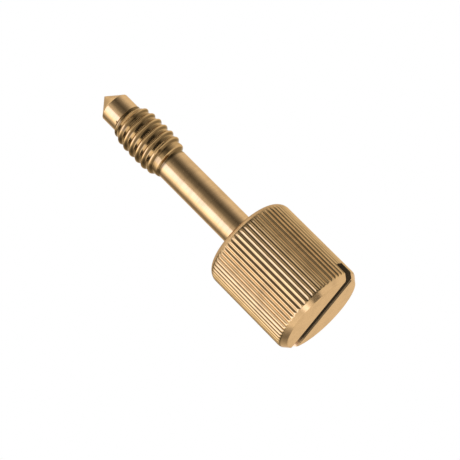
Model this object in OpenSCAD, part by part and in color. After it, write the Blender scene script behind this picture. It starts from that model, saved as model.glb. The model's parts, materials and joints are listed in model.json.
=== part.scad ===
// Captive screw with a straight-knurled thumb head, turned from one brass bar.
// It stands on its slotted end face: the origin is the centre of that face and +Z points to the tip.

/* [Head] */
// Diameter over the knurl's crests
head_d = 8.9; // [8:0.1:12]
// Length of the head, from the slotted face to the face under the head
head_len = 9.7; // [7:0.1:14]
// How far the bevel at the slotted end reaches along the axis
bevel_len = 0.6; // [0.4:0.05:1]
// How far that bevel cuts in from the crests
bevel_in = 0.5; // [0.4:0.05:0.9]
// Radius of the rounded rim at the shank end
rim_r = 1; // [0.6:0.05:1.5]

/* [Knurl] */
// Number of straight ridges round the head
ridge_count = 61; // [48:1:70]
// Depth of the grooves between the ridges
groove_depth = 0.13; // [0.08:0.01:0.3]
// Width of the land left on each ridge
crest_w = 0.1; // [0.05:0.01:0.14]
// Width of the flat at the bottom of each groove
root_w = 0.06; // [0.03:0.01:0.1]

/* [Driver slot] */
// Width of the slot across the end face
slot_w = 1; // [0.8:0.05:1.4]
// Depth of the slot from the end face
slot_depth = 1.65; // [1:0.05:2.5]

/* [Shank] */
// Diameter of the plain shank, below the root of the thread
shank_d = 3; // [2.4:0.05:3.2]
// Length of the plain shank, from under the head to the start of the thread
shank_len = 9.55; // [6:0.05:16]
// Radius left by the turning tool in the corner under the head
corner_r = 0.15; // [0.1:0.05:0.3]

/* [Thread] */
// Outside diameter of the thread
thread_d = 4.16; // [3.9:0.02:5]
// Length of the threaded part, with its run-out and its lead-in
thread_len = 6; // [5:0.05:9]
// Radius of the arc along which the thread runs out to the shank
run_out_r = 3.5; // [2:0.1:5]
// Length of the conical lead-in beside the dog
lead_in_len = 0.8; // [0.5:0.05:1.2]

/* [Point] */
// Diameter of the dog
dog_d = 2.95; // [2.4:0.05:3.2]
// Length of the straight part of the dog
dog_len = 1.7; // [1:0.05:3]
// Angle of the point, side to side
point_angle = 90; // [60:5:120]

/* [Hidden] */

$fn = 96;
brass = [0.72, 0.55, 0.30];
// How far a cutting body reaches past the surface that it opens
overcut = 0.5;
// How far neighbouring half sections overlap, so that they join in one piece
lap = 0.1;

head_r = head_d / 2;
shank_r = shank_d / 2;
thread_r = thread_d / 2;
dog_r = dog_d / 2;

// Places along the axis, from the slotted face up
thread_z = head_len + shank_len;
dog_z = thread_z + thread_len;
point_z = dog_z + dog_len;
tip_z = point_z + dog_r / tan(point_angle / 2);

// Length over which the run-out arc drops from the thread's crest to the shank
run_out_drop = thread_r - shank_r;
run_out_len = sqrt(run_out_r * run_out_r - pow(run_out_r - run_out_drop, 2));
full_thread_z = thread_z + run_out_len;
lead_in_z = dog_z - lead_in_len;

// Half widths of a groove at its bottom and where it leaves the head
ridge_pitch = PI * head_d / ridge_count;
root_half = root_w / 2;
mouth_half = (ridge_pitch - crest_w) / 2;
groove_slope = (mouth_half - root_half) / groove_depth;

// Half section of the head before it is knurled, with its bevel and its rounded rim
module head_section() {
    polygon([
        [0, 0],
        [head_r - bevel_in, 0],
        [head_r, bevel_len],
        [head_r, head_len - rim_r],
        [head_r - rim_r, head_len - rim_r],
        [head_r - rim_r, head_len],
        [0, head_len]
    ]);
    translate([head_r - rim_r, head_len - rim_r]) circle(r = rim_r);
}

// Half section of the shank, a core from the head into the thread, with the corner radius under the head
module shank_section() {
    square([shank_r, lead_in_z]);
    difference() {
        translate([0, head_len - lap]) square([shank_r + corner_r, corner_r + lap]);
        translate([shank_r + corner_r, head_len + corner_r]) circle(r = corner_r);
    }
}

// Half section of the thread at its outside diameter, from the run-out to the lead-in
module thread_section() {
    polygon([
        [0, full_thread_z],
        [thread_r, full_thread_z],
        [thread_r, lead_in_z],
        [dog_r, dog_z],
        [0, dog_z]
    ]);
    intersection() {
        translate([thread_r - run_out_r, full_thread_z]) circle(r = run_out_r);
        translate([0, thread_z]) square([thread_r, run_out_len + lap]);
    }
}

// Half section of the dog and its point, from inside the lead-in
module point_section() {
    polygon([
        [0, lead_in_z],
        [dog_r, lead_in_z],
        [dog_r, point_z],
        [0, tip_z]
    ]);
}

// One groove of the knurl, cut along the whole head at angle zero
module groove() {
    mouth_r = head_r + overcut;
    mouth_w = root_half + groove_slope * (groove_depth + overcut);
    translate([0, 0, -overcut])
        linear_extrude(head_len + 2 * overcut)
            polygon([
                [head_r - groove_depth, -root_half],
                [mouth_r, -mouth_w],
                [mouth_r, mouth_w],
                [head_r - groove_depth, root_half]
            ]);
}

// The turned blank: the whole half section, revolved in one piece
module turned_blank() {
    rotate_extrude() {
        head_section();
        shank_section();
        thread_section();
        point_section();
    }
}

// The grooves that leave the ridges of the knurl standing, one ridge at angle zero
module knurl_grooves() {
    for (i = [0 : ridge_count - 1])
        rotate((i + 0.5) * 360 / ridge_count) groove();
}

// The driver slot, straight across the end face and out through the ridges on both sides
module driver_slot() {
    translate([-head_d, -slot_w / 2, -overcut])
        cube([2 * head_d, slot_w, slot_depth + overcut]);
}

module captive_screw() {
    color(brass)
        difference() {
            turned_blank();
            knurl_grooves();
            driver_slot();
        }
}

captive_screw();
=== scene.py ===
"""Looks of a turned brass captive screw: knurled slotted head, plain shank, thread and dog point."""

import json
import logging
import math
from dataclasses import dataclass
from enum import Enum

import bmesh
import bpy
import numpy as np
from mathutils import Matrix, Vector

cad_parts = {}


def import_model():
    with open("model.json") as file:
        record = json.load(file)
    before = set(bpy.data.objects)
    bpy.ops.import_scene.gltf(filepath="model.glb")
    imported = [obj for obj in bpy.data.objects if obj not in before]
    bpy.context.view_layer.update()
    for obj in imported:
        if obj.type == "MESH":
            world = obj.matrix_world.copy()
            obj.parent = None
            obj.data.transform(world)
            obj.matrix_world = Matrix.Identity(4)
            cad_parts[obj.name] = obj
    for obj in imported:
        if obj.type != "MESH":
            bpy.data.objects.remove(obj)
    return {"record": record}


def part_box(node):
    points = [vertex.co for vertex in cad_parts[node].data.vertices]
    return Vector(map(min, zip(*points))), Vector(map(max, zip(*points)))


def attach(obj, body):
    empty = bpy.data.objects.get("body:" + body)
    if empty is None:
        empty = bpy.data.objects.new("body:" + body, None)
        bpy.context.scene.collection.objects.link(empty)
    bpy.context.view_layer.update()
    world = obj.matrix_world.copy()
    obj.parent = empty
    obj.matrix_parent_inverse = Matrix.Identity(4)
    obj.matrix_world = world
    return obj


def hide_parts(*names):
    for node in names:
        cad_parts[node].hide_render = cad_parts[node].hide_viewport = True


LOG = logging.getLogger("captive_screw")
MM = 0.001
NODE = "captive_screw"
BODY = "root"
STRAIGHT_DEG = 1.0
WHITE = (1.0, 1.0, 1.0)

Colour = tuple[float, float, float]
Triple = tuple[float, float, float]
Pair = tuple[float, float]
Table = tuple[Pair, ...]
Outline = list[Pair]
Socket = bpy.types.NodeSocket


class Mark(Enum):
    """Attributes of the mesh that tell the finish where on the screw it is."""

    # How much shade is painted at each point.
    PAINTED_SHADE = "recess"
    # How much shade is painted on each face of the slot, where the metal also turns to a dull non-metal.
    SLOTTED = "slotted"
    KNURLED = "knurled"
    THREADED = "threaded"
    MATTE = "matte"


@dataclass(frozen=True)
class ScrewSizes:
    """Sizes of the screw in metres; heights run along the axis from the slotted face to the tip.

    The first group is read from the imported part, and the rest are the maker's own sizes.
    """

    head_r: float
    head_len: float
    shank_r: float
    thread_r: float
    full_thread_low: float
    full_thread_high: float
    tip_z: float
    bevel_len: float = 0.6 * MM
    bevel_in: float = 0.5 * MM
    rim_r: float = 1.0 * MM
    corner_r: float = 0.15 * MM
    ridge_count: int = 61
    groove_depth: float = 0.10 * MM
    slot_w: float = 1.08 * MM
    slot_depth: float = 1.65 * MM
    run_out_r: float = 3.5 * MM
    lead_in_len: float = 0.83 * MM
    dog_r: float = 1.475 * MM
    point_half_deg: float = 45.0
    pitch: float = 25.4 / 32 * MM
    thread_depth: float = 0.23 * MM
    crown_start: float = 22.8 * MM
    crown_r: float = 9.7 * MM

    @classmethod
    def from_frame(cls, record: dict) -> "ScrewSizes":
        """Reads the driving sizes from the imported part.

        Args:
            record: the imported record, whose mounts give the head, the shank and the thread.

        Returns:
            The sizes of the screw.
        """
        _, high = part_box(NODE)
        mounts = {mount["name"]: mount for mount in record["mounts"]}
        thread = mounts["thread"]
        thread_mid = thread["pos_m"][2]
        thread_half = thread["dims"]["length_mm"] * MM / 2
        return cls(
            head_r=high.x,
            head_len=mounts["under_head"]["pos_m"][2],
            shank_r=mounts["captive_shank"]["dims"]["r_mm"] * MM,
            thread_r=thread["dims"]["r_mm"] * MM,
            full_thread_low=thread_mid - thread_half,
            full_thread_high=thread_mid + thread_half,
            tip_z=high.z,
        )

    @property
    def run_out_len(self) -> float:
        """Length over which the run-out arc drops from the thread's crest to the shank."""
        drop = self.thread_r - self.shank_r
        return math.sqrt(self.run_out_r**2 - (self.run_out_r - drop) ** 2)

    @property
    def thread_low(self) -> float:
        """Height at which the run-out meets the shank."""
        return self.full_thread_low - self.run_out_len

    @property
    def dog_low(self) -> float:
        """Height at which the lead-in meets the dog."""
        return self.full_thread_high + self.lead_in_len

    @property
    def point_slope(self) -> float:
        """Radius that the point loses for each unit of its height."""
        return math.tan(math.radians(self.point_half_deg))

    @property
    def dog_high(self) -> float:
        """Height at which the dog turns into its point."""
        return self.tip_z - self.dog_r / self.point_slope


def read_table(table: Table, places: np.ndarray) -> np.ndarray:
    """Reads a table of places and values at some places, straight between its rows."""
    return np.interp(places, *zip(*table))


def rounded_outline(corners: list[Triple], steps: int) -> Outline:
    """Rounds the corners of a half section.

    Args:
        corners: radius, height and corner radius of each corner, in order.
        steps: number of spans in each rounded corner.

    Returns:
        The radius and height of each point of the outline.
    """
    points = [Vector((r, z)) for r, z, _ in corners]
    outline = [points[0]]
    for before, here, after, corner in zip(points, points[1:], points[2:], corners[1:]):
        into, out = (here - before).normalized(), (after - here).normalized()
        turn = math.acos(max(-1.0, min(1.0, into.dot(out))))
        if corner[2] <= 0 or turn < math.radians(STRAIGHT_DEG):
            outline.append(here)
            continue
        reach = corner[2] * math.tan(turn / 2)
        start, end = here - into * reach, here + out * reach
        inward = (out - into).normalized()
        centre = here + inward * (corner[2] / math.cos(turn / 2))
        first, last = start - centre, end - centre
        for i in range(steps + 1):
            share = i / steps
            weight_a = math.sin((1 - share) * turn) / math.sin(turn)
            weight_b = math.sin(share * turn) / math.sin(turn)
            outline.append(centre + first * weight_a + last * weight_b)
    outline.append(points[-1])
    return [(point.x, point.y) for point in outline]


def spaced(outline: Outline, spacing: float) -> Outline:
    """Adds points to an outline so that none of its spans is longer than the spacing.

    Args:
        outline: radius and height of each point.
        spacing: the longest span wanted, in metres.

    Returns:
        The outline with the points added.
    """
    result = [outline[0]]
    for (r0, z0), (r1, z1) in zip(outline, outline[1:]):
        parts = max(1, math.ceil(math.hypot(r1 - r0, z1 - z0) / spacing))
        for i in range(1, parts + 1):
            result.append((r0 + (r1 - r0) * i / parts, z0 + (z1 - z0) * i / parts))
    return result


def circle(radius: float, sides: int) -> Outline:
    """Returns the corners of a regular polygon round the axis, from +X."""
    angles = [2 * math.pi * i / sides for i in range(sides)]
    return [(radius * math.cos(angle), radius * math.sin(angle)) for angle in angles]


def linked(name: str, data: bpy.types.ID) -> bpy.types.Object:
    """Makes an object and adds it to the scene.

    Args:
        name: its name.
        data: its mesh, lamp or camera.

    Returns:
        The object.
    """
    made = bpy.data.objects.new(name, data)
    bpy.context.scene.collection.objects.link(made)
    return made


def linked_mesh(name: str, points: list[Triple], faces: list) -> bpy.types.Object:
    """Makes an object of points and faces and adds it to the scene.

    Args:
        name: its name.
        points: the places of its points.
        faces: the numbers of each face's points.

    Returns:
        The object.
    """
    mesh = bpy.data.meshes.new(name)
    mesh.from_pydata(points, [], faces)
    mesh.validate()
    return linked(name, mesh)


class RingSkin:
    """A closed skin round the axis, laid ring by ring from the slotted face to the tip."""

    def __init__(self) -> None:
        """Starts with no points and no faces."""
        self.points: list[Triple] = []
        self.faces: list[tuple[int, ...]] = []
        self.last: np.ndarray | None = None

    def _add(self, points: np.ndarray) -> np.ndarray:
        """Keeps some points and returns their numbers."""
        self.points += points.tolist()
        return np.arange(len(self.points) - len(points), len(self.points))

    def pole(self, height: float) -> None:
        """Closes the skin at a point on the axis, before its first ring or after its last.

        Args:
            height: the point's height.
        """
        centre = int(self._add(np.array([[0.0, 0.0, height]]))[0])
        if self.last is None:
            self.last = np.array([centre])
            return
        ring = self.last
        self.faces += [(int(a), int(b), centre) for a, b in zip(ring, np.roll(ring, -1))]

    def ring(self, radii: np.ndarray, height: float) -> None:
        """Adds a ring and joins it to the one before.

        Args:
            radii: one radius for each point, evenly spaced round the axis from +X.
            height: the ring's height.
        """
        angles = np.linspace(0, 2 * math.pi, len(radii), endpoint=False)
        heights = np.full(len(radii), height)
        new = self._add(np.stack([radii * np.cos(angles), radii * np.sin(angles), heights], 1))
        old, self.last = self.last, new
        if old is None:
            return
        if len(old) == 1:
            self.faces += [(int(old[0]), int(b), int(a)) for a, b in zip(new, np.roll(new, -1))]
            return
        step = len(old) // len(new)
        for k in range(len(new)):
            outer = [int(old[(k * step + i) % len(old)]) for i in range(step + 1)]
            self.faces.append((*outer, int(new[(k + 1) % len(new)]), int(new[k])))


@dataclass
class KnurledHead:
    """The thumb head: slotted face, bevel, ridges that run out at both ends, and rounded rim."""

    sizes: ScrewSizes
    points_per_ridge: int = 12
    face_edge_r: float = 0.12 * MM
    bevel_edge_r: float = 0.45 * MM
    hub_share: float = 0.1
    side_start: float = 1.5
    rim_steps: int = 24
    fine_spacing: float = 0.05 * MM
    face_spacing: float = 0.6 * MM
    side_spacing: float = 1.2 * MM
    slot_edge: float = 0.12 * MM
    slot_floor_r: float = 0.12 * MM
    slot_reach: float = 1.2
    slot_slices: int = 36
    arc_steps: int = 4

    def ridge_radii(self) -> np.ndarray:
        """Works out a ring through the knurl, with a ridge on +X.

        Returns:
            The radius at each point of the ring.
        """
        size = self.sizes
        ring_points = size.ridge_count * self.points_per_ridge
        angles = np.linspace(0, 2 * math.pi, ring_points, endpoint=False)
        wave = 0.5 - 0.5 * np.cos(size.ridge_count * angles)
        return size.head_r - size.groove_depth * wave

    def lay(self, skin: RingSkin) -> None:
        """Lays the head's rings from the slotted face up to the flat under the head.

        Args:
            skin: the skin that takes the rings.
        """
        size = self.sizes
        ridges = self.ridge_radii()
        face_r = size.head_r - size.bevel_in
        flat_r = face_r - self.face_edge_r
        side_low = self.side_start * size.bevel_len
        rim_low = size.head_len - size.rim_r
        face = spaced([(self.hub_share * face_r, 0.0), (flat_r, 0.0)], self.face_spacing)
        corners = [
            (flat_r, 0.0, 0.0),
            (face_r, 0.0, self.face_edge_r),
            (size.head_r, size.bevel_len, self.bevel_edge_r),
            (size.head_r, side_low, 0.0),
        ]
        bevel = spaced(rounded_outline(corners, self.arc_steps), self.fine_spacing)
        side = spaced([(size.head_r, side_low), (size.head_r, rim_low)], self.side_spacing)
        rim = [
            (size.head_r - size.rim_r * (1 - math.cos(turn)), rim_low + size.rim_r * math.sin(turn))
            for turn in np.linspace(0, math.pi / 2, self.rim_steps + 1)
        ]
        skin.pole(0.0)
        for radius, height in [*face, *bevel[1:], *side[1:], *rim[1:]]:
            skin.ring(np.minimum(ridges, radius), height)

    def _slot_section(self) -> Outline:
        """Draws the slot's section across its length, flared at the mouth and rounded at the floor.

        Returns:
            The distance from the slot's middle and the height of each corner.
        """
        size, edge, floor_r = self.sizes, self.slot_edge, self.slot_floor_r
        half, below = size.slot_w / 2, 2 * edge
        right = [(half + edge + below, -below), (half, edge)]
        for i in range(self.arc_steps + 1):
            turn = math.pi / 2 * i / self.arc_steps
            inward, upward = floor_r * (1 - math.cos(turn)), floor_r * (1 - math.sin(turn))
            right.append((half - inward, size.slot_depth - upward))
        return right + [(-y, z) for y, z in reversed(right)]

    def slot_cutter(self) -> bpy.types.Object:
        """Makes the body that cuts the driver slot, in slices so that its painted shade can vary along
        it.

        Returns:
            The cutting body.
        """
        section = self._slot_section()
        reach = self.slot_reach * self.sizes.head_r
        places = np.linspace(-reach, reach, self.slot_slices + 1)
        shape = bmesh.new()
        rows = [[shape.verts.new((x, y, z)) for y, z in section] for x in places]
        shape.faces.new(reversed(rows[0]))
        shape.faces.new(rows[-1])
        for here, after in zip(rows, rows[1:]):
            for i in range(len(section)):
                j = (i + 1) % len(section)
                shape.faces.new((here[i], here[j], after[j], after[i]))
        bmesh.ops.recalc_face_normals(shape, faces=shape.faces)
        mesh = bpy.data.meshes.new("slot_cutter")
        shape.to_mesh(mesh)
        shape.free()
        return linked("slot_cutter", mesh)


@dataclass
class ThreadedStem:
    """The plain shank, the right-hand thread with its run-out and lead-in, the dog and its point."""

    sizes: ScrewSizes
    ring_points: int = 122
    rows_per_pitch: int = 40
    section: Table = ((0.0, 0.0), (0.05, 0.0), (0.20, 0.65), (0.65, 1.0), (0.95, 0.0), (1.0, 0.0))
    run_out_section: Table = ((0.0, 0.0), (0.05, 0.0), (0.65, 1.0), (0.95, 0.0), (1.0, 0.0))
    softening: float = 0.05
    softening_steps: int = 9
    start_turn: float = 0.08
    end_relief: float = 0.7
    run_out_share: float = 0.5
    end_step: float = 0.10 * MM
    junction: float = 0.02 * MM
    flat_margin: float = 0.05 * MM
    shank_spacing: float = 0.3 * MM
    point_spacing: float = 0.3 * MM
    point_edge_r: float = 0.05 * MM
    tip_r: float = 0.04 * MM
    tip_share: float = 0.5
    arc_steps: int = 4

    def envelope(self, height: float) -> float:
        """Returns the outside radius of the threaded part at a height.

        Args:
            height: the height, between the shank and the dog.

        Returns:
            The radius over the crests.
        """
        size = self.sizes
        if height < size.full_thread_low:
            below = min(size.full_thread_low - height, size.run_out_len)
            return size.thread_r - size.run_out_r + math.sqrt(size.run_out_r**2 - below**2)
        over = max(0.0, height - size.full_thread_high) / size.lead_in_len
        end_r = size.dog_r + self.end_step
        cone = size.thread_r + (end_r - size.thread_r) * min(over, 1.0)
        crown = size.thread_r - max(0.0, height - size.crown_start) ** 2 / (2 * size.crown_r)
        return max(size.dog_r, min(cone, crown))

    def phase(self, height: float | np.ndarray, turns: np.ndarray) -> np.ndarray:
        """Returns the turns of the helix at heights and turns round the axis, whole on the crest."""
        return height / self.sizes.pitch - turns + self.start_turn

    def run_out(self, height: float | np.ndarray) -> float | np.ndarray:
        """Returns how far into the run-out a height lies: 0 on the full thread and 1 at the shank."""
        return np.clip((self.sizes.full_thread_low - height) / self.sizes.run_out_len, 0, 1)

    def groove(self, phase: np.ndarray, section: Table) -> np.ndarray:
        """Returns the softened depth at a phase of the helix, 0 on the crest and 1 in the root."""
        shifts = np.linspace(-self.softening, self.softening, self.softening_steps)
        return sum(read_table(section, np.mod(phase + shift, 1.0)) for shift in shifts) / len(shifts)

    def thread_radii(self, height: float) -> np.ndarray:
        """Works out a ring through the thread, whose relief fades at both ends.

        Args:
            height: the ring's height.

        Returns:
            The radius at each point of the ring.
        """
        size = self.sizes
        outside = self.envelope(height)
        fullness = (outside - size.shank_r) / (size.thread_r - size.shank_r)
        relief = size.thread_depth * (self.end_relief + (1 - self.end_relief) * max(0.0, fullness))
        phase = self.phase(height, np.linspace(0, 1, self.ring_points, endpoint=False))
        fade = min(self.run_out(height) / self.run_out_share, 1.0)
        depth = self.groove(phase, self.section) * (1 - fade)
        depth += self.groove(phase, self.run_out_section) * fade
        return np.maximum(outside - relief * depth, min(size.shank_r, size.dog_r))

    def lay(self, skin: RingSkin) -> None:
        """Lays the rings from the flat under the head to the tip.

        Args:
            skin: the skin that takes the rings.
        """
        size = self.sizes
        reach = 2 * size.corner_r
        corners = [
            (size.shank_r + reach, size.head_len, 0.0),
            (size.shank_r, size.head_len, size.corner_r),
            (size.shank_r, size.head_len + reach, 0.0),
        ]
        corner = rounded_outline(corners, self.arc_steps)
        flat_r = size.head_r - size.rim_r - self.flat_margin
        flat = spaced([(flat_r, size.head_len), corner[0]], self.shank_spacing)
        shank = spaced([corner[-1], (size.shank_r, size.thread_low)], self.shank_spacing)
        for radius, height in [*flat, *corner[1:], *shank[1:]]:
            skin.ring(np.full(self.ring_points, radius), height)
        rows = math.ceil((size.dog_low - size.thread_low) / size.pitch * self.rows_per_pitch)
        for height in np.linspace(size.thread_low, size.dog_low, rows + 1)[1:]:
            skin.ring(self.thread_radii(float(height)), float(height))
        tip_len = self.tip_r / size.point_slope
        corners = [
            (size.dog_r, size.dog_low + self.junction, 0.0),
            (size.dog_r, size.dog_high, self.point_edge_r),
            (self.tip_r, size.tip_z - tip_len, 0.0),
        ]
        point = spaced(rounded_outline(corners, self.arc_steps), self.point_spacing)
        for radius, height in point:
            skin.ring(np.full(self.ring_points, radius), height)
        skin.pole(size.tip_z - self.tip_share * tip_len)


@dataclass(frozen=True)
class Places:
    """Where the points of the screw's mesh lie round its axis."""

    radius: np.ndarray
    angle: np.ndarray
    z: np.ndarray

    @classmethod
    def of(cls, mesh: bpy.types.Mesh) -> "Places":
        """Reads the places of a mesh's points.

        Args:
            mesh: the screw's mesh.

        Returns:
            Their distances from the axis, their angles from +X and their heights.
        """
        flat = np.empty(len(mesh.vertices) * 3, np.float32)
        mesh.vertices.foreach_get("co", flat)
        x, y, z = flat.reshape(-1, 3).T
        return cls(radius=np.hypot(x, y), angle=np.arctan2(y, x), z=z)


@dataclass(frozen=True)
class PaintedShadeAndMatte:
    """Where shade is painted on the screw, where its metal is duller and where the slot is painted dark
    as shade.

    The knurl's table goes by degrees round the axis from +X, and the thread's by turns of the helix.
    Each foot gives its painted shade and how many corner radii that shade reaches below and above.
    """

    stem: ThreadedStem
    knurl_margin: float = 1.2
    knurl_from: float = 0.5
    # Painted shade in the knurl's grooves, which changes with the angle round the axis.
    knurl_painted_shade: Table = (
        (-180, 0.70), (-140, 0.80), (-128, 0.90), (-112, 0.75), (-104, 0.62),
        (-90, 0.36), (-80, 0.50), (-72, 0.70), (-60, 0.98), (-52, 0.92), (-42, 0.50),
        (-34, 0.25), (-18, 0.20), (-8, 0.35), (0, 0.55), (20, 0.70), (180, 0.70),
    )
    # Painted shade along the thread's section, by turns of the helix.
    thread_painted_shade: Table = (
        (0.0, 0.38), (0.06, 0.48), (0.20, 0.55), (0.60, 0.52),
        (0.70, 0.95), (0.82, 0.90), (0.91, 0.45), (1.0, 0.38),
    )
    # Painted shade in the grooves of the run-out.
    run_out_painted_shade: float = 1.3
    # Painted shade in the corners at the foot of the dog, the thread and the shank.
    dog_foot: Triple = (1.0, 2.0, 0.1)
    thread_foot: Triple = (0.85, 1.0, 3.0)
    shank_foot: Triple = (0.4, 1.0, 1.0)
    foot_within: float = 1.2
    # Painted shade on one side of the point.
    point_painted_shade: float = 0.58
    point_painted_shade_deg: float = -140.0
    point_side: float = 0.5
    point_margin: float = 0.5
    # Painted shade over the rounded rim and the flat under the head.
    rim_painted_shade: float = 0.5
    rim_painted_shade_from: float = 0.6
    rim_painted_shade_over: float = 0.4
    matte_from: float = 1.0
    matte_over: float = 0.2
    shank_margin: float = 0.5
    flat_slack: float = 1.001
    slot_slack: float = 1.01
    slot_half: float = 0.501
    slot_floor_from: float = 0.5
    # Painted shade in the slot's flared mouth, and where it thins out towards -X.
    slot_mouth: float = 0.8
    slot_flare: float = 0.13 * MM
    slot_unshaded_from: float = 2.9 * MM
    slot_unshaded_to: float = 4.1 * MM
    steep: float = 0.5

    @property
    def sizes(self) -> ScrewSizes:
        """The sizes of the screw."""
        return self.stem.sizes

    def knurled(self, at: Places) -> np.ndarray:
        """Tells which points lie on the knurl.

        Args:
            at: where the points lie.

        Returns:
            1 at the points on it and 0 elsewhere.
        """
        size = self.sizes
        outer = at.radius > size.head_r - self.knurl_margin * size.groove_depth
        along = (at.z > self.knurl_from * size.bevel_len) & (at.z < size.head_len)
        return (outer & along).astype(np.float32)

    def threaded(self, at: Places) -> np.ndarray:
        """Returns 1 at the points on the thread and 0 elsewhere."""
        return ((at.z > self.sizes.thread_low) & (at.z < self.sizes.dog_low)).astype(np.float32)

    def recess(self, at: Places) -> np.ndarray:
        """Works out how much shade is painted at each point.

        Args:
            at: where the points lie.

        Returns:
            The painted shade at each point, from 0 to 1.
        """
        size = self.sizes
        groove = np.clip((size.head_r - at.radius) / size.groove_depth, 0, 1)
        painted_amount = read_table(self.knurl_painted_shade, np.degrees(at.angle)) * self.knurled(at) * groove
        painted_amount += self.threaded(at) * self._on_thread(at)
        rim = self._over_rim(at, self.rim_painted_shade_from, self.rim_painted_shade_over)
        for spot in (self._in_corners(at), self._on_point(at), self.rim_painted_shade * rim):
            painted_amount = np.maximum(painted_amount, spot)
        return painted_amount

    def matte(self, at: Places) -> np.ndarray:
        """Returns how dull the metal is at each point, on the rounded rim and the flat beyond it."""
        return self._over_rim(at, self.matte_from, self.matte_over)

    def _on_thread(self, at: Places) -> np.ndarray:
        """Works out the painted shade along the thread's section, deeper in the grooves of the run-out.

        Args:
            at: where the points lie.

        Returns:
            The painted shade at each point, as if all lay on the thread.
        """
        phase = self.stem.phase(at.z, at.angle / (2 * math.pi))
        painted_amount = read_table(self.thread_painted_shade, np.mod(phase, 1.0))
        groove = self.stem.groove(phase, self.stem.run_out_section)
        foot = self.run_out_painted_shade * self.stem.run_out(at.z) * groove
        return np.maximum(painted_amount, np.minimum(foot, max(share for _, share in self.thread_painted_shade)))

    def _in_corners(self, at: Places) -> np.ndarray:
        """Works out the painted shade in the corners at the foot of the dog, the thread and the shank.

        Args:
            at: where the points lie.

        Returns:
            The tarnish at each point.
        """
        size = self.sizes
        result = np.zeros(len(at.z))
        for height, (painted_amount, below, above) in (
            (size.dog_low, self.dog_foot),
            (size.thread_low, self.thread_foot),
            (size.head_len, self.shank_foot),
        ):
            reach = np.where(at.z < height, below, above) * size.corner_r
            result = np.maximum(result, painted_amount * np.exp(-(((at.z - height) / reach) ** 2)))
        return np.where(at.radius < self.foot_within * size.shank_r, result, 0)

    def _on_point(self, at: Places) -> np.ndarray:
        """Works out the painted shade on one side of the point.

        Args:
            at: where the points lie.

        Returns:
            The tarnish at each point.
        """
        size = self.sizes
        toward = np.cos(at.angle - math.radians(self.point_painted_shade_deg))
        on_point = at.z > size.dog_high + self.point_margin * size.corner_r
        return self.point_painted_shade * on_point * np.clip(self.point_side + toward, 0, 1)

    def _over_rim(self, at: Places, start: float, over: float) -> np.ndarray:
        """Works out what grows over the rounded rim and covers the flat beyond it, up to the shank.

        Args:
            at: where the points lie.
            start: where it starts, in rim radii before the flat.
            over: how long it takes to grow, in rim radii.

        Returns:
            The share at each point, from 0 to 1.
        """
        size = self.sizes
        clear = at.radius > size.shank_r + self.shank_margin * size.corner_r
        on_head = clear & (at.z < self.flat_slack * size.head_len)
        return on_head * np.clip((at.z - size.head_len + start * size.rim_r) / (over * size.rim_r), 0, 1)

    def slot_painted_shade(self, face: bpy.types.MeshPolygon) -> float:
        """Works out how much shade is painted on a face, which only the slot's walls, floor and mouth
        take.

        Args:
            face: a face of the screw's mesh.

        Returns:
            The painted shade from 0 to 1, which thins out towards the slot's end on -X.
        """
        size, place = self.sizes, face.center
        if not 0 < place.z < self.slot_slack * size.slot_depth:
            return 0.0
        unshaded = (-place.x - self.slot_unshaded_from) / (self.slot_unshaded_to - self.slot_unshaded_from)
        shaded = 1 - min(max(unshaded, 0.0), 1.0)
        wall = abs(face.normal.y) > self.steep
        if abs(place.y) < self.slot_half * size.slot_w:
            inside = wall or place.z > self.slot_floor_from * size.slot_depth
            return shaded if inside else 0.0
        on_face = math.hypot(place.x, place.y) < size.head_r - size.bevel_in
        flared = wall and on_face and place.z < self.slot_flare
        return self.slot_mouth * shaded if flared else 0.0


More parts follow.
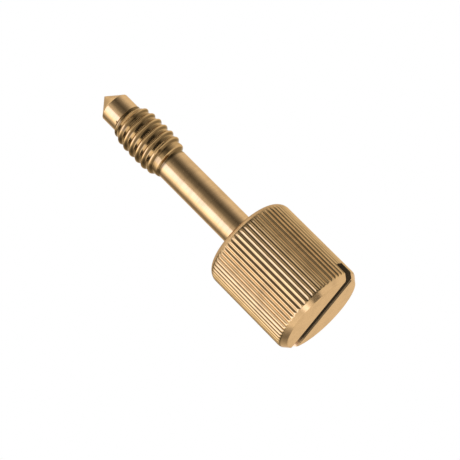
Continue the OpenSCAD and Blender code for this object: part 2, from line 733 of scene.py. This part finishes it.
class NodeGraph:
    """A material's or the world's nodes, with short calls for the kinds used here."""

    def __init__(self, tree: bpy.types.NodeTree) -> None:
        """Empties the tree."""
        self.tree = tree
        tree.nodes.clear()

    def node(self, kind: str, inputs: dict | None = None, **settings: str) -> bpy.types.Node:
        """Adds a node.

        Args:
            kind: its kind, as Blender names it after ShaderNode.
            inputs: what goes into its inputs, by name or number.
            settings: its own settings.

        Returns:
            The node.
        """
        node = self.tree.nodes.new(f"ShaderNode{kind}")
        for name, value in settings.items():
            setattr(node, name, value)
        for name, value in (inputs or {}).items():
            self._put(value, node.inputs[name])
        return node

    def _put(self, value: object, socket: Socket) -> None:
        """Links a socket, or sets a plain value.

        Args:
            value: an output socket, a number, a vector or a colour.
            socket: the input that takes it.
        """
        if isinstance(value, Socket):
            self.tree.links.new(value, socket)
        elif socket.type == "RGBA":
            socket.default_value = (*value, 1.0)
        else:
            socket.default_value = value

    def math(self, operation: str, *values: object) -> Socket:
        """Adds a sum on numbers and returns its result."""
        return self.node("Math", dict(enumerate(values)), operation=operation).outputs["Value"]

    def weighted(self, first: Socket, second: Socket, shares: Pair) -> Socket:
        """Adds two numbers by their shares and returns the result."""
        return self.math("MULTIPLY_ADD", first, shares[0], self.math("MULTIPLY", second, shares[1]))

    def vector_math(self, operation: str, *values: object) -> Socket:
        """Adds a sum on vectors and returns its result, a number where the sum measures them."""
        node = self.node("VectorMath", dict(enumerate(values)), operation=operation)
        return node.outputs["Value" if operation in ("LENGTH", "DOT_PRODUCT") else "Vector"]

    def noise(self, place: Socket, scale: float, detail: float) -> Socket:
        """Adds a noise that is read at a place and returns its value."""
        return self.node("TexNoise", {"Vector": place, "Scale": scale, "Detail": detail}).outputs["Fac"]

    def attribute(self, mark: Mark) -> Socket:
        """Reads one of the screw's attributes."""
        return self.node("Attribute", attribute_name=mark.value).outputs["Fac"]

    def ramp_value(self, value: Socket, low: float, high: float) -> Socket:
        """Stretches a value smoothly, so that low becomes 0 and high becomes 1."""
        inputs = {"Value": value, "From Min": low, "From Max": high}
        return self.node("MapRange", inputs, interpolation_type="SMOOTHSTEP").outputs["Result"]

    def mix_value(self, share: Socket, first: object, second: object) -> Socket:
        """Mixes two numbers by the share of the second."""
        return self.node("Mix", {0: share, 2: first, 3: second}, data_type="FLOAT").outputs[0]

    def mix_colour(self, share: object, first: object, second: object, blend: str = "MIX") -> Socket:
        """Mixes two colours by the share of the second."""
        node = self.node("Mix", {0: share, 6: first, 7: second}, data_type="RGBA", blend_type=blend)
        return node.outputs[2]


def node_material(name: str) -> tuple[bpy.types.Material, NodeGraph]:
    """Makes a material of nodes.

    Args:
        name: its name.

    Returns:
        The material and its graph, which is empty.
    """
    material = bpy.data.materials.new(name)
    material.use_nodes = True
    return material, NodeGraph(material.node_tree)


@dataclass(frozen=True)
class BrassFinish:
    """Turned brass: tan metal with tool rings, drawn marks along the ridges and painted shade in its
    recesses.

    Scales are in marks to the millimetre.
    """

    name: str = "turned_brass"
    bright: Colour = (0.740, 0.474, 0.230)
    dull: Colour = (0.600, 0.382, 0.184)
    # Dark colours that the painted shade darkens the metal towards, off the thread and on it.
    recess: Colour = (0.078, 0.055, 0.028)
    thread_painted_shade_colour: Colour = (0.11, 0.067, 0.029)
    knurl_tint: Colour = (1.0, 1.01, 0.95)
    thread_tint: Colour = (1.0, 0.98, 0.88)
    # Painted shade in the slot, a dark brown non-metal.
    slot_painted_shade: Colour = (0.105, 0.075, 0.041)
    edge_tint: Colour = (0.91, 0.78, 0.61)
    # Sheen and roughness of the slot's painted shade.
    slot_shade_sheen: float = 0.1
    slot_shade_roughness: float = 0.6
    matte_roughness: float = 0.42
    roughness_low: float = 0.13
    roughness_high: float = 0.24
    thread_roughness: float = 0.9
    ring_scale: float = 9.0
    grain_scale: float = 7.0
    cloud_scale: float = 0.9
    mark_scale: float = 5.0
    drawn_out: float = 0.12
    mark_detail: float = 3.0
    grain_detail: float = 2.0
    worn_shares: Pair = (0.6, 0.4)
    worn_span: Pair = (0.40, 0.72)
    # How the amount of painted shade turns into darkening.
    painted_shade_span: Pair = (0.25, 0.95)
    painted_shade_share: float = 0.85
    rough_shares: Pair = (0.6, 0.4)
    bump_shares: Pair = (0.6, 0.5)
    bump_height: float = 0.0016 * MM

    def material(self) -> bpy.types.Material:
        """Builds the node material.

        Returns:
            The material, ready to be put on the screw.
        """
        material, graph = node_material(self.name)
        place = graph.node("TexCoord").outputs["Object"]
        millimetres = graph.vector_math("MULTIPLY", place, (1 / MM, 1 / MM, 1 / MM))
        marked = {mark: graph.attribute(mark) for mark in Mark}
        rings, along = self._turned_places(graph, millimetres)
        cloud = graph.noise(millimetres, self.cloud_scale, self.mark_detail)
        grain = graph.noise(millimetres, self.grain_scale, self.grain_detail)
        tool = graph.noise(rings, self.ring_scale, self.mark_detail)
        drawn = graph.noise(along, self.mark_scale, self.mark_detail)
        strokes = graph.mix_value(marked[Mark.KNURLED], tool, drawn)
        worn = graph.weighted(cloud, strokes, self.worn_shares)
        uneven = graph.weighted(strokes, grain, self.rough_shares)
        relief = graph.weighted(strokes, grain, self.bump_shares)
        bump = graph.node("Bump", {"Strength": 1.0, "Distance": self.bump_height, "Height": relief})
        inputs = {
            "Base Color": self._colour(graph, worn, marked),
            # The slot's painted shade is a dull non-metal.
            "Metallic": graph.math("SUBTRACT", 1.0, marked[Mark.SLOTTED]),
            "Roughness": self._roughness(graph, uneven, marked),
            "Specular Tint": self.edge_tint,
            "Specular IOR Level": self.slot_shade_sheen,
            "Normal": bump.outputs["Normal"],
        }
        shader = graph.node("BsdfPrincipled", inputs)
        graph.node("OutputMaterial", {"Surface": shader.outputs["BSDF"]})
        return material

    def _colour(self, graph: NodeGraph, worn: Socket, marked: dict[Mark, Socket]) -> Socket:
        """Makes the metal's colour, with its painted shade and the slot's painted shade.

        Args:
            graph: the material's graph.
            worn: how worn the metal is.
            marked: the screw's attributes.

        Returns:
            The colour.
        """
        colour = graph.mix_colour(graph.ramp_value(worn, *self.worn_span), self.bright, self.dull)
        # Painted shade: grooves, corners, the rim and one side of the point are darkened.
        painted_shade_amount = graph.ramp_value(marked[Mark.PAINTED_SHADE], *self.painted_shade_span)
        painted_shade_colour = graph.mix_colour(marked[Mark.THREADED], self.recess, self.thread_painted_shade_colour)
        colour = graph.mix_colour(graph.math("MULTIPLY", painted_shade_amount, self.painted_shade_share), colour, painted_shade_colour)
        tint = graph.mix_colour(marked[Mark.KNURLED], WHITE, self.knurl_tint)
        tint = graph.mix_colour(marked[Mark.THREADED], tint, self.thread_tint)
        colour = graph.mix_colour(1.0, colour, tint, blend="MULTIPLY")
        # Paints the slot's faces dark brown as shade.
        return graph.mix_colour(marked[Mark.SLOTTED], colour, self.slot_painted_shade)

    def _roughness(self, graph: NodeGraph, uneven: Socket, marked: dict[Mark, Socket]) -> Socket:
        """Makes the metal's roughness, with the duller rim and the slot where shade is painted.

        Args:
            graph: the material's graph.
            uneven: how it changes from place to place.
            marked: the screw's attributes.

        Returns:
            The roughness.
        """
        rough = graph.mix_value(uneven, self.roughness_low, self.roughness_high)
        factor = graph.mix_value(marked[Mark.THREADED], 1.0, self.thread_roughness)
        rough = graph.math("MULTIPLY", rough, factor)
        rough = graph.mix_value(marked[Mark.MATTE], rough, self.matte_roughness)
        return graph.mix_value(marked[Mark.SLOTTED], rough, self.slot_shade_roughness)

    def _turned_places(self, graph: NodeGraph, millimetres: Socket) -> tuple[Socket, Socket]:
        """Makes the two places at which the tool's marks are read.

        Args:
            graph: the material's graph.
            millimetres: the place on the screw.

        Returns:
            A place that is the same all round the axis, and one that is drawn out along it.
        """
        parts = graph.node("SeparateXYZ", {"Vector": millimetres}).outputs
        flat = graph.node("CombineXYZ", {"X": parts["X"], "Y": parts["Y"]}).outputs["Vector"]
        radius = graph.vector_math("LENGTH", flat)
        rings = graph.node("CombineXYZ", {"X": radius, "Y": parts["Z"]}).outputs["Vector"]
        return rings, graph.vector_math("MULTIPLY", millimetres, (1.0, 1.0, self.drawn_out))


@dataclass
class CaptiveScrew:
    """The whole screw, turned from one bar: head and stem share one closed skin."""

    sizes: ScrewSizes
    finish: BrassFinish = BrassFinish()
    name: str = "captive_screw_turned"
    sharp_deg: float = 38.0

    def build(self) -> bpy.types.Object:
        """Builds the screw as one piece and dresses it.

        Returns:
            The finished piece, riding on the part's only body.
        """
        head, stem = KnurledHead(self.sizes), ThreadedStem(self.sizes)
        skin = RingSkin()
        head.lay(skin)
        stem.lay(skin)
        blank = linked_mesh("blank", skin.points, skin.faces)
        screw = self._cut(blank, head.slot_cutter())
        self._mark(screw.data, PaintedShadeAndMatte(stem))
        self.dress(screw)
        return screw

    def _cut(self, blank: bpy.types.Object, cutter: bpy.types.Object) -> bpy.types.Object:
        """Cuts the slot.

        Args:
            blank: the turned and knurled screw.
            cutter: the body of the slot.

        Returns:
            A new object with the slot cut; the blank and the cutter are removed.
        """
        cut = blank.modifiers.new("slot", "BOOLEAN")
        cut.operation = "DIFFERENCE"
        cut.solver = "EXACT"
        cut.object = cutter
        shown = blank.evaluated_get(bpy.context.evaluated_depsgraph_get())
        mesh = bpy.data.meshes.new_from_object(shown)
        mesh.name = self.name
        for spare in (blank, cutter):
            bpy.data.objects.remove(spare)
        return linked(self.name, mesh)

    @staticmethod
    def _mark(mesh: bpy.types.Mesh, shade_and_matte: PaintedShadeAndMatte) -> None:
        """Writes the attributes that the finish reads.

        Args:
            mesh: the screw's mesh.
            shade_and_matte: where shade is painted on the screw and its slot, and where the metal is
                dull.
        """
        at = Places.of(mesh)
        for mark, values in (
            (Mark.PAINTED_SHADE, shade_and_matte.recess(at)),
            (Mark.KNURLED, shade_and_matte.knurled(at)),
            (Mark.THREADED, shade_and_matte.threaded(at)),
            (Mark.MATTE, shade_and_matte.matte(at)),
        ):
            layer = mesh.attributes.new(mark.value, "FLOAT", "POINT")
            layer.data.foreach_set("value", values.astype(np.float32))
        layer = mesh.attributes.new(Mark.SLOTTED.value, "FLOAT", "FACE")
        layer.data.foreach_set("value", [shade_and_matte.slot_painted_shade(face) for face in mesh.polygons])

    def dress(self, screw: bpy.types.Object) -> None:
        """Gives the piece its finish, its shading and its place in the frame.

        Args:
            screw: the piece.
        """
        mesh = screw.data
        mesh.materials.clear()
        mesh.materials.append(self.finish.material())
        mesh.shade_smooth()
        mesh.set_sharp_from_angle(angle=math.radians(self.sharp_deg))
        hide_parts(NODE)
        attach(screw, BODY)


@dataclass
class PhotoCamera:
    """The camera at the photograph's viewing angle, placed by where the photograph shows the tip."""

    tip_z: float
    frame_px: float = 460.0
    tip_px: Pair = (104.35, 96.35)
    px_size: float = 0.0895 * MM
    distance_px: float = 2000.0
    slant_deg: float = 71.7
    turn_deg: float = 45.16
    slot_turn_deg: float = 22.0
    sensor_mm: float = 36.0
    clip_near: float = 0.05
    clip_far: float = 100.0

    def directions(self) -> tuple[Vector, Vector]:
        """Works out two level directions.

        Returns:
            The directions from the axis to the camera and to the picture's lower left.
        """
        turn = math.radians(self.slot_turn_deg)
        near = Vector((math.sin(turn), -math.cos(turn), 0.0))
        side = Vector((-math.cos(turn), -math.sin(turn), 0.0))
        return near, side

    def place(self, near: float, side: float, up: float) -> Vector:
        """Returns a place from how far it lies towards the camera, to the lower left and up."""
        toward_near, toward_side = self.directions()
        return toward_near * near + toward_side * side + Vector((0.0, 0.0, up))

    def build(self) -> bpy.types.Object:
        """Makes the camera and sets it as the scene's.

        Returns:
            The camera object.
        """
        slant, turn = math.radians(self.slant_deg), math.radians(self.turn_deg)
        near, side = self.directions()
        in_view = Matrix(
            (
                (-math.sin(turn), -math.cos(turn), 0.0),
                (-math.cos(slant) * math.cos(turn), math.cos(slant) * math.sin(turn), math.sin(slant)),
                (-math.sin(slant) * math.cos(turn), math.sin(slant) * math.sin(turn), -math.cos(slant)),
            )
        )
        in_frame = Matrix((side, near, Vector((0.0, 0.0, 1.0)))).transposed()
        rotation = in_frame @ in_view
        middle = self.frame_px / 2
        distance = self.distance_px * self.px_size
        tip_in_view = Vector(
            (
                (self.tip_px[0] - middle) * self.px_size,
                (middle - self.tip_px[1]) * self.px_size,
                -distance,
            )
        )
        place = Vector((0.0, 0.0, self.tip_z)) - rotation @ tip_in_view
        data = bpy.data.cameras.new("photo_camera")
        data.sensor_width = self.sensor_mm
        data.lens = self.sensor_mm * self.distance_px / self.frame_px
        data.clip_start = self.clip_near * distance
        data.clip_end = self.clip_far * distance
        camera = linked("photo_camera", data)
        camera.matrix_world = Matrix.Translation(place) @ rotation.to_4x4()
        bpy.context.scene.camera = camera
        return camera


@dataclass(frozen=True)
class Lamp:
    """A wide, soft lamp; its place lies near the camera, to the lower left and up, in metres."""

    name: str
    place: Triple
    strength: float


@dataclass(frozen=True)
class LowCard:
    """A round card below the screw: its direction near the camera, to the lower left and up, and tone.

    half_deg is half the angle that it fills, seen from the screw.
    """

    name: str
    toward: Triple
    half_deg: float
    tone: float


@dataclass
class Studio:
    """The plain floor, the soft lamps and the ring of pale and dark cards that the metal mirrors.

    Tones are given by angle round the screw, in degrees from the camera towards the lower left.
    """

    camera: PhotoCamera
    floor_half: float = 1.5
    floor_gap: float = 0.02 * MM
    floor_colour: Colour = (0.90, 0.90, 0.90)
    ring_r: float = 0.20
    ring_low: float = -0.20
    ring_middle: float = 0.155
    ring_high: float = 0.37
    ring_sides: int = 144
    brightest: float = 3.0
    tones: Table = (
        (-180, 0.95), (-100, 0.95), (-82, 0.70), (-63, 0.34), (-48, 0.18), (-34, 0.10),
        (-20, 0.18), (-5, 0.25), (2, 0.45), (11, 0.66), (25, 0.75), (31, 3.0),
        (60, 3.0), (68, 2.3), (80, 1.65), (97, 0.65), (110, 0.34), (122, 0.22),
        (140, 0.5), (160, 0.8), (180, 0.95),
    )
    high_tones: Table = (
        (-180, 0.90), (-140, 0.80), (-95, 0.30), (-60, 0.20), (-46, 0.035), (25, 0.035),
        (37, 1.5), (66, 1.5), (75, 0.05), (105, 0.05), (140, 0.80), (180, 0.90),
    )
    low_cards: tuple[LowCard, ...] = (
        LowCard("dark_card", (0.526, -0.229, -0.818), 9.7, 0.20),
        LowCard("bright_card", (0.530, 0.191, -0.824), 5.5, 2.6),
    )
    low_distance: float = 0.0268
    low_sides: int = 48
    cool: Colour = (0.62, 0.69, 1.0)
    cool_from: float = 2.0
    room_level: float = 0.55
    lamps: tuple[Lamp, ...] = (
        Lamp("key_lamp", (0.12, 0.22, 0.34), 1.3),
        Lamp("fill_lamp", (0.05, -0.25, 0.30), 0.7),
    )
    lamp_spread_deg: float = 35.0

    def build(self) -> None:
        """Makes the floor, the cards, the lamps and the world."""
        self._floor()
        self._card_ring("card_ring", self.ring_low, self.ring_middle, self.tones)
        self._card_ring("high_card_ring", self.ring_middle, self.ring_high, self.high_tones)
        for card in self.low_cards:
            self._low_card(card)
        for lamp in self.lamps:
            self._lamp(lamp)
        self._world()
        bpy.context.scene.view_settings.view_transform = "Standard"

    def _floor(self) -> None:
        """Makes a pale floor that is drawn from above only, since the photograph looks up past it."""
        half, low = self.floor_half, -self.floor_gap
        corners = [(-half, -half, low), (half, -half, low), (half, half, low), (-half, half, low)]
        floor = linked_mesh("floor", corners, [range(len(corners))])
        material, graph = node_material("pale_floor")
        paint = graph.node("BsdfDiffuse", {"Color": self.floor_colour}).outputs["BSDF"]
        clear = graph.node("BsdfTransparent").outputs["BSDF"]
        below = graph.node("NewGeometry").outputs["Backfacing"]
        mix = graph.node("MixShader", {0: below, 1: paint, 2: clear})
        graph.node("OutputMaterial", {"Surface": mix.outputs["Shader"]})
        floor.data.materials.append(material)
        floor.visible_glossy = False
        floor.visible_diffuse = False
        floor.visible_shadow = False

    def _card_ring(self, name: str, low: float, high: float, tones: Table) -> None:
        """Makes a ring of cards round the screw, seen only in the metal.

        Args:
            name: the ring's name.
            low: height of its lower edge.
            high: height of its upper edge.
            tones: angles round the screw and the tone at each.
        """
        count = self.ring_sides
        corners = [(x, y, z) for z in (low, high) for x, y in circle(self.ring_r, count)]
        faces = [(i, count + i, count + (i + 1) % count, (i + 1) % count) for i in range(count)]
        self._only_mirrored(linked_mesh(name, corners, faces), tones)

    def _low_card(self, card: LowCard) -> None:
        """Makes a round card below the screw, seen only in the metal.

        Args:
            card: the card.
        """
        radius = self.low_distance * math.tan(math.radians(card.half_deg))
        corners = [(x, y, 0.0) for x, y in circle(radius, self.low_sides)]
        shown = linked_mesh(card.name, corners, [range(self.low_sides)])
        shown.location = self.camera.place(*card.toward).normalized() * self.low_distance
        shown.rotation_mode = "QUATERNION"
        shown.rotation_quaternion = shown.location.to_track_quat("Z", "Y")
        self._only_mirrored(shown, ((-180, card.tone), (180, card.tone)))

    def _only_mirrored(self, card: bpy.types.Object, tones: Table) -> None:
        """Gives a card its tones and hides it from everything but the metal's reflections.

        Args:
            card: the card.
            tones: angles round the screw and the tone at each.
        """
        card.data.materials.append(self._card_material(card.name, tones))
        card.visible_camera = False
        card.visible_diffuse = False
        card.visible_shadow = False
        card.visible_transmission = False

    def _card_material(self, name: str, tones: Table) -> bpy.types.Material:
        """Builds the glow of a card, which changes with the angle round the screw.

        Args:
            name: the material's name.
            tones: angles round the screw and the tone at each.

        Returns:
            The material.
        """
        material, graph = node_material(name)
        place = graph.node("TexCoord").outputs["Object"]
        near, side = self.camera.directions()
        forward = graph.vector_math("DOT_PRODUCT", place, near)
        across = graph.vector_math("DOT_PRODUCT", place, side)
        angle = graph.math("ARCTAN2", across, forward)
        ramp = graph.node("ValToRGB", {"Fac": graph.math("MULTIPLY_ADD", angle, 0.5 / math.pi, 0.5)})
        stops = ramp.color_ramp.elements
        while len(stops) < len(tones):
            stops.new(0.5)
        for stop, (degrees, tone) in zip(stops, tones):
            stop.position = 0.5 + degrees / 360
            stop.color = self._tone_colour(tone)
        glow = graph.node("Emission", {"Color": ramp.outputs["Color"], "Strength": self.brightest})
        graph.node("OutputMaterial", {"Surface": glow.outputs["Emission"]})
        return material

    def _tone_colour(self, tone: float) -> tuple[float, ...]:
        """Returns a card's colour at a tone, cooler where it is brightest."""
        share = min(max((tone - self.cool_from) / (self.brightest - self.cool_from), 0.0), 1.0)
        return (*((1 + (part - 1) * share) * tone / self.brightest for part in self.cool), 1.0)

    def _lamp(self, lamp: Lamp) -> None:
        """Makes one of the wide, soft lamps that light the floor evenly.

        Args:
            lamp: the lamp.
        """
        data = bpy.data.lights.new(lamp.name, "SUN")
        data.angle = math.radians(self.lamp_spread_deg)
        data.energy = lamp.strength
        shown = linked(lamp.name, data)
        shown.location = self.camera.place(*lamp.place)
        shown.visible_glossy = False
        shown.rotation_mode = "QUATERNION"
        shown.rotation_quaternion = (-shown.location).to_track_quat("-Z", "Y")

    def _world(self) -> None:
        """Makes a white world for the picture and the metal, and a softer one for the floor."""
        world = bpy.data.worlds.new("studio")
        bpy.context.scene.world = world
        world.use_nodes = True
        graph = NodeGraph(world.node_tree)
        rays = graph.node("LightPath").outputs
        seen = graph.math("MAXIMUM", rays["Is Camera Ray"], rays["Is Glossy Ray"])
        seen = graph.math("MAXIMUM", seen, rays["Is Transmission Ray"])
        strength = graph.mix_value(seen, self.room_level, 1.0)
        sky = graph.node("Background", {"Color": WHITE, "Strength": strength})
        graph.node("OutputWorld", {"Surface": sky.outputs["Background"]})


def main(frame: dict) -> None:
    """Builds the camera, the screw and the studio in order.
    """
    logging.basicConfig(level=logging.INFO, format="%(name)s: %(message)s")
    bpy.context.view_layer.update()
    sizes = ScrewSizes.from_frame(frame["record"])
    camera = PhotoCamera(tip_z=sizes.tip_z)
    camera.build()
    screw = CaptiveScrew(sizes).build()
    LOG.info("built %s with %d faces", screw.name, len(screw.data.polygons))
    Studio(camera).build()
    LOG.info("built the floor, the lamps and the cards")


if __name__ == "__main__":
    main(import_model())
